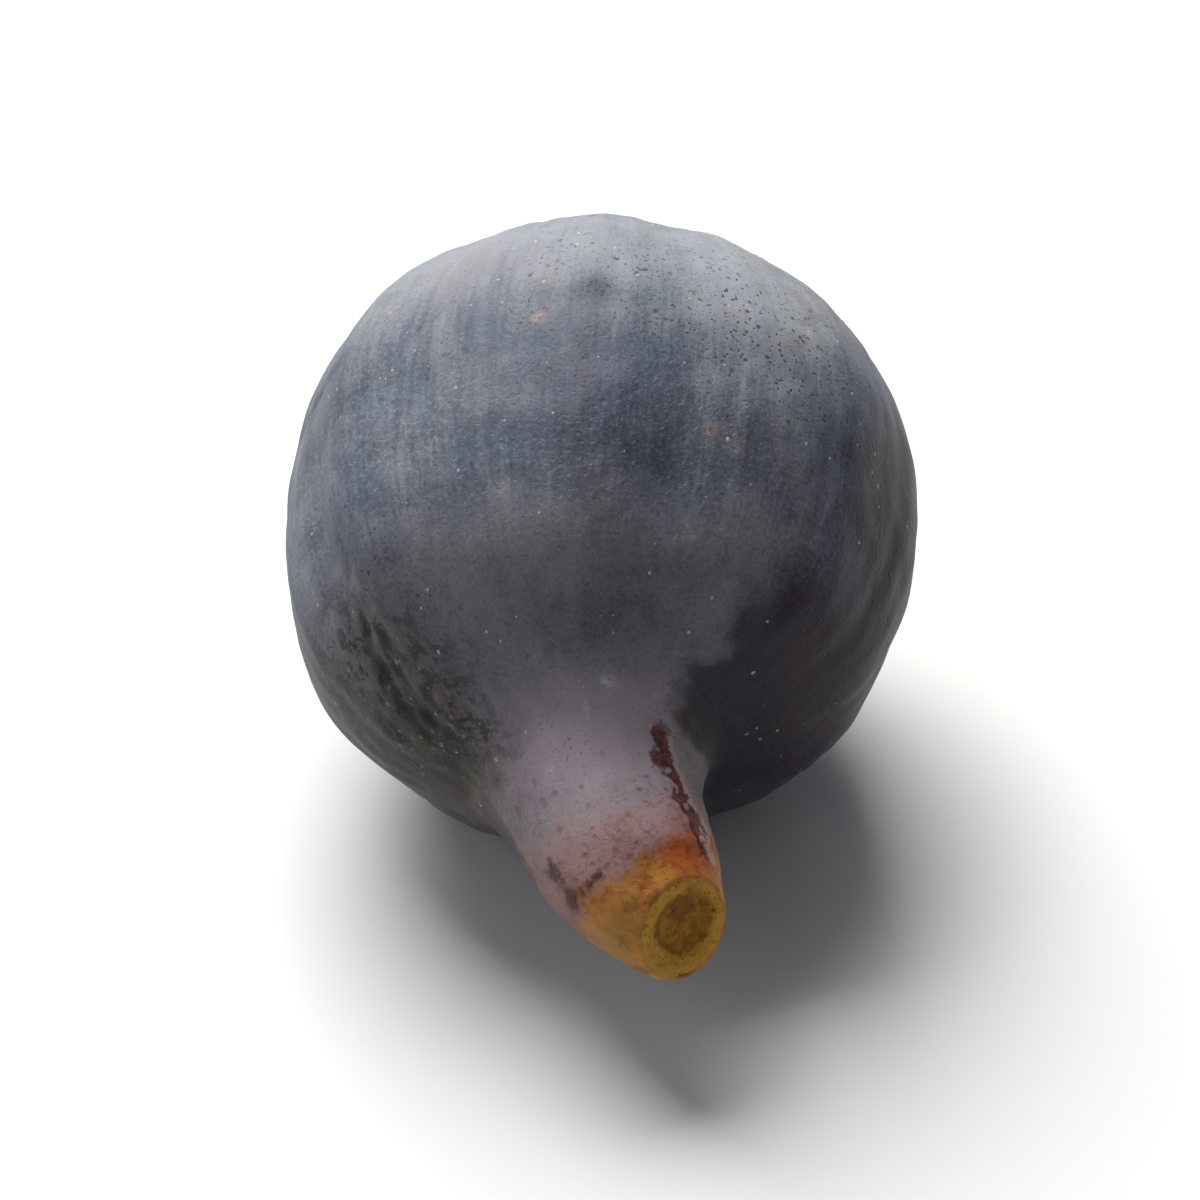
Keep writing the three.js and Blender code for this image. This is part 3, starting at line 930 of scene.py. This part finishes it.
def scale_material():
    """Dark red-brown scales with thin, pale, ragged margins."""
    s = Shader("fig_eye_scale")
    grown = s.vector("grown")
    parts = s.add("ShaderNodeSeparateXYZ", {0: grown})
    length, across = parts.outputs[0], s.math("ABSOLUTE", parts.outputs[1])
    small = s.noise(grown, 0.16, 4, 0.65)
    broad = s.noise(grown, 0.9, 3, 0.6)
    margin = s.plus(s.math("MAXIMUM", across, s.math("SUBTRACT", length, 0.12)), s.around_zero(small, 0.3),
                    s.around_zero(broad, 0.6))
    color = s.mix(s.step(broad, 0.4, 0.62), SCALE_RED, SCALE_BROWN)
    drawn_out = s.add("ShaderNodeVectorMath", {0: grown, 1: (1.0, 9.0, 1.0)}, operation="MULTIPLY").outputs[0]
    fibres = s.noise(drawn_out, 0.5, 3)
    color = s.mix(s.step(fibres, 0.42, 0.62, 0.0, 0.4), color, SCALE_FIBRE)
    pale = s.mix(s.step(small, 0.4, 0.62), MARGIN_PINK, MARGIN_STRAW)
    shown = s.times(s.step(margin, 0.70, 0.90), s.step(length, 0.42, 0.56))
    color = s.mix(shown, color, pale)
    color = s.mix(s.step(length, 0.25, 0.5, 0.85, 0.0), color, EYE_DARK)
    normal = s.bump(fibres, SCALE_BUMP)
    return s.finish(color, 0.62, normal)


def scale_grid(ring, length, width, seed):
    """Top and underside of one scale, root at the origin and tip along +X, and its own coordinates."""
    rows, columns = np.linspace(0, 1, SCALE_ROWS), np.linspace(-1, 1, SCALE_COLUMNS)
    grow, across = np.meshgrid(rows, columns, indexing="ij")
    own = np.stack([grow * 3, across + 5, grow * 0 + seed], -1)
    free = smooth(grow, *MARGIN_FREE)
    x = ((1 + SCALE_ROOT) * grow - SCALE_ROOT) * length
    x = x + RAGGED * ripple(own, 0.5, seed) * np.abs(across) * free
    room = (ring["tip_radius"] + length - x) * math.tan(math.pi / ring["count"])
    narrowed = 1 - np.clip((grow - NARROW_FROM) / (1 - NARROW_FROM), 0, 1) ** 2.6
    half = room * width / ring["width"] * np.clip(narrowed, TIP_SHARE, 1) ** 0.6
    y = half * across * (1 + RAGGED * free * ripple(own, 0.35, seed + 40))
    edge = np.abs(across) ** 4
    crown = 0.5 * SCALE_THICKNESS * (1 - 0.3 * grow ** 2) + MARGIN_CURL * edge * free * (1 - 0.4 * grow)
    crown = crown + TIP_CURL * grow ** 5 + 0.05 * free * ripple(own, 0.3, seed + 80)
    crown = crown + ROOT_RISE * (1 - smooth(grow, 0.35, 0.6)) - ROOT_DIVE * (1 - smooth(grow, 0, 0.35))
    thickness = SCALE_BODY * (1 - edge) + SCALE_EDGE
    top = np.stack([x, y, crown], -1)
    low = np.stack([x, y, crown - thickness], -1)
    coordinates = np.stack([grow, across, grow * 0], -1)
    return top, low, coordinates


def scale_faces(first):
    """Faces of one scale: top, underside and the edge all round."""
    faces = []
    size = SCALE_ROWS * SCALE_COLUMNS

    def corner(row, column, low):
        return first + low * size + row * SCALE_COLUMNS + column

    for row in range(SCALE_ROWS - 1):
        for column in range(SCALE_COLUMNS - 1):
            square = [(row, column), (row + 1, column), (row + 1, column + 1), (row, column + 1)]
            faces.append(tuple(corner(r, c, 0) for r, c in square))
            faces.append(tuple(corner(r, c, 1) for r, c in reversed(square)))
    rows, columns = SCALE_ROWS - 1, SCALE_COLUMNS - 1
    edge = [(0, c) for c in range(columns)] + [(r, columns) for r in range(rows)]
    edge += [(rows, c) for c in range(columns, 0, -1)] + [(r, 0) for r in range(rows, 0, -1)]
    for (r0, c0), (r1, c1) in zip(edge, edge[1:] + edge[:1]):
        faces.append((corner(r0, c0, 0), corner(r1, c1, 0), corner(r1, c1, 1), corner(r0, c0, 1)))
    return faces


def draws_from(seed):
    """Repeatable draws between -1 and 1, the same ones as in the solid's source."""
    factor, modulus = 16807, 2147483647
    state = seed
    while True:
        state = (state * factor) % modulus
        yield state / modulus * 2 - 1


def turned(points, axis, degrees):
    """Points turned about the y or z axis."""
    c, s = math.cos(math.radians(degrees)), math.sin(math.radians(degrees))
    matrix = {
        "y": [(c, 0, s), (0, 1, 0), (-s, 0, c)],
        "z": [(c, -s, 0), (s, c, 0), (0, 0, 1)],
    }[axis]
    return points @ np.array(matrix).T


def make_scales():
    """Both rings of scales as one piece."""
    draw = draws_from(SCALE_SEED)
    material = scale_material()
    points, coordinates, faces = [], [], []
    for ring in SCALE_RINGS:
        for i in range(ring["count"]):
            length = ring["length"] * (1 + SCALE_SPREAD["length"] * next(draw))
            width = ring["width"] * (1 + SCALE_SPREAD["width"] * next(draw))
            around = ring["turn"] + 360 / ring["count"] * i + SCALE_SPREAD["turn"] * next(draw)
            top, low, grown = scale_grid(ring, length, width, len(points) + 1)
            both = np.concatenate([top.reshape(-1, 3), low.reshape(-1, 3)])
            both = turned(both, "y", -ring["lift"])
            both = both + [-(ring["tip_radius"] + length), 0, -ring["sink"]]
            both = turned(both * UPSIDE_DOWN, "z", around) + [0, 0, EYE_FACE]
            faces += scale_faces(sum(len(p) for p in points))
            points.append(both)
            coordinates.append(np.concatenate([grown.reshape(-1, 3)] * 2) + [0, 0, len(points) * 3.7])
    scales = make_piece("fig_eye_scales", to_frame(np.concatenate(points)), faces, material)
    add_vectors(scales, "grown", np.concatenate(coordinates))


# Pale lenticels
LENTICEL_COUNT = 420
LENTICEL_SEED = 5
LENTICEL_SIDES = 7
# How far over the skin from the eye the first lies, where on the axis the last lies, and how near the floor
LENTICELS_FROM = 7.5
LENTICELS_TO = 35.0
LENTICELS_ABOVE = 0.6 * MM
# Share that is kept away from the eye, and where along the axis it changes
LENTICELS_KEPT = 0.35
KEPT_REACH = (-8, 14)
# Added to a ring's radius where narrow rings get fewer
RADIUS_ALLOWANCE = 3
# How far over the skin from the eye they are longest and no longer drawn out
LONG_REACH = (8, 24)
# Half width, how much longer than wide, how much longer still by the eye, and the height over the half width
HALF_WIDTHS = (0.06, 0.15)
LONGER = (1.0, 1.5)
LONGER_BY_EYE = (0.8, 2.6)
LENTICEL_LIFT = 0.25
# The rings of one lenticel, outermost first: share of its half width, share of its height
LENTICEL_RINGS = [(1.25, -0.4), (0.85, 0.5), (0.4, 0.95)]
LENTICEL_TOP = 1.1


def lenticel_material():
    """Pale corky specks."""
    s = Shader("fig_lenticel")
    place = s.vector("straight")
    tone = s.noise(place, 3.0, 2)
    path = s.add("ShaderNodeSeparateXYZ", {0: place}).outputs[1]
    color = s.mix(s.step(tone, 0.4, 0.6), LENTICEL_CREAM, LENTICEL_TAN)
    color = s.mix(s.step(path, 24.0, 40.0, 0.0, 0.75), color, LENTICEL_DIM)
    color = s.mix(s.step(path, 9.0, 18.0, 0.7, 0.0), color, LENTICEL_PINK)
    normal = s.bump(s.noise(place, 0.15, 3), LENTICEL_BUMP)
    return s.finish(color, 0.7, normal)


def lenticel_points(angle, path, half_wide, half_long):
    """Points of one lenticel: its rings, outermost first, and its top."""
    turn = round_axis(LENTICEL_SIDES)
    radius = outline_at(path)[0]
    lift = LENTICEL_LIFT * half_wide
    rows = []
    for share, height in LENTICEL_RINGS:
        paths = path + share * half_long * np.cos(turn)
        angles = angle + share * half_wide * np.sin(turn) / radius
        rows.append(lifted(angles, paths, height * lift))
    rows.append(lifted(np.array([angle]), np.array([path]), LENTICEL_TOP * lift))
    return np.concatenate(rows)


def lenticel_faces(first):
    """Faces of one lenticel: between its rings, and a fan round its top."""
    sides, rings = LENTICEL_SIDES, len(LENTICEL_RINGS)
    last_ring = first + (rings - 1) * sides
    top = first + rings * sides
    fan = [(last_ring + i, last_ring + (i + 1) % sides, top) for i in range(sides)]
    return grid_faces(rings, sides, first) + fan


def make_lenticels():
    """Small raised specks strewn over the skin, longer and closer together round the eye."""
    draw = np.random.default_rng(LENTICEL_SEED)
    nearest, farthest = LONG_REACH
    points, straight_points, faces = [], [], []
    while len(points) < LENTICEL_COUNT:
        path = draw.uniform(LENTICELS_FROM, path_at(LENTICELS_TO))
        angle = draw.uniform(0, FULL_TURN)
        radius, along = outline_at(path)
        thinned = draw.uniform(0, 1) > LENTICELS_KEPT + (1 - LENTICELS_KEPT) * smooth(-along, *KEPT_REACH)
        if thinned or draw.uniform(0, BODY_RADIUS) > radius + RADIUS_ALLOWANCE:
            continue
        if rough_height(angle, path) < LENTICELS_ABOVE:
            continue
        near_eye = 1 - np.clip((path - nearest) / (farthest - nearest), 0, 1)
        half_wide = draw.uniform(*HALF_WIDTHS)
        half_long = half_wide * (draw.uniform(*LONGER) + draw.uniform(*LONGER_BY_EYE) * near_eye)
        faces += lenticel_faces(sum(len(p) for p in points))
        points.append(lenticel_points(angle, path, half_wide, half_long))
        straight_points.append(np.full((len(points[-1]), 3), [angle * 9, path, len(points)]))
    specks = make_piece("fig_lenticels", np.concatenate(points), faces, lenticel_material())
    add_vectors(specks, "straight", np.concatenate(straight_points))


def lifted(angles, paths, height):
    """Points of the skin raised by a height in millimetres."""
    step = 0.15
    middle = skin_point(angles, paths)
    ahead = skin_point(angles, paths + step) - middle
    aside = skin_point(angles + step / outline_at(paths)[0], paths) - middle
    out = np.cross(aside, ahead)
    out /= np.linalg.norm(out, axis=-1, keepdims=True)
    return middle + out * height * MM


def rough_height(angle, path):
    """Height over the floor of a place on the skin, without its fine relief."""
    return float(to_frame(skin_places(np.array([angle]), np.array([path]), fine=False)[0])[0, 2])


# The stage
FLOOR_HALF = 2.0
FLOOR_STEPS = 9
# Each light's place from the fig's middle, its height over the floor, its size, power and colour
TOP_LIGHT = dict(aside=-0.38, behind=0.78, height=1.15, size=1.1, power=42, color=(1.0, 0.99, 0.97))
SIDE_FILL = dict(aside=-0.7, behind=-0.8, height=0.8, size=0.8, power=2.5, color=(0.96, 0.98, 1.0))
ROOM_COLOR = (0.9, 0.93, 1.0, 1.0)
ROOM_STRENGTH = 0.20


def floor_material():
    """Pale matte surface."""
    s = Shader("pale_floor")
    place = s.add("ShaderNodeTexCoord", {}).outputs["Object"]
    tone = s.noise(place, 0.4, 3)
    color = s.mix(tone, FLOOR_GREY, FLOOR_PALE)
    return s.finish(color, 0.8)


def make_floor():
    """A wide level floor under the fig."""
    line = np.linspace(-FLOOR_HALF, FLOOR_HALF, FLOOR_STEPS)
    x, y = np.meshgrid(line, line)
    faces = grid_faces(FLOOR_STEPS, FLOOR_STEPS, closed=False)
    floor = new_mesh("floor", np.stack([x, y, 0 * x], -1), faces, floor_material())


def look_from(thing, place, target):
    """Places a light or camera and points it at the target."""
    thing.location = place
    thing.rotation_euler = (Vector(target) - Vector(place)).to_track_quat("-Z", "Y").to_euler()


def make_light(name, values, middle):
    """One soft square light that faces the fig."""
    lamp = bpy.data.lights.new(name, "AREA")
    lamp.shape = "SQUARE"
    lamp.size = values["size"]
    lamp.energy = values["power"]
    lamp.color = values["color"]
    place = (middle[0] + values["aside"], middle[1] + values["behind"], values["height"])
    look_from(new_object(name, lamp), place, middle)


def make_lights(middle):
    """A wide soft light above and behind, and a weak fill from the camera's side."""
    make_light("top_light", TOP_LIGHT, middle)
    make_light("side_fill", SIDE_FILL, middle)
    world = bpy.data.worlds.new("soft_room")
    world.use_nodes = True
    background = world.node_tree.nodes["Background"]
    background.inputs["Color"].default_value = ROOM_COLOR
    background.inputs["Strength"].default_value = ROOM_STRENGTH
    bpy.context.scene.world = world


# The camera looks as in the photograph, through a longer lens that fills the frame with the fig
CAMERA_AZIMUTH = 3.0
CAMERA_ELEVATION = 40.0
CAMERA_DISTANCE = 0.969
CAMERA_LENS = 360.0
CAMERA_SENSOR = 36.0
CAMERA_NEAREST = 0.05
CAMERA_DROP = 6.1 * MM


def make_camera(middle):
    """The camera, aimed just below the body's middle so that the stalk is in the frame."""
    azimuth, elevation = math.radians(CAMERA_AZIMUTH), math.radians(CAMERA_ELEVATION)
    level = math.cos(elevation)
    back = np.array([math.sin(azimuth) * level, -math.cos(azimuth) * level, math.sin(elevation)])
    right = np.array([math.cos(azimuth), math.sin(azimuth), 0])
    target = middle - np.cross(back, right) * CAMERA_DROP
    lens = bpy.data.cameras.new("camera")
    lens.lens = CAMERA_LENS
    lens.sensor_width = CAMERA_SENSOR
    lens.clip_start = CAMERA_NEAREST
    camera = new_object("camera", lens)
    look_from(camera, tuple(target + back * CAMERA_DISTANCE), tuple(target))
    bpy.context.scene.camera = camera


make_skin()
make_cut_face()
make_scales()
make_lenticels()
make_floor()
BODY_MIDDLE = SHIFT * MM
make_lights(tuple(BODY_MIDDLE))
make_camera(BODY_MIDDLE)
bpy.context.scene.view_settings.view_transform = "Standard"
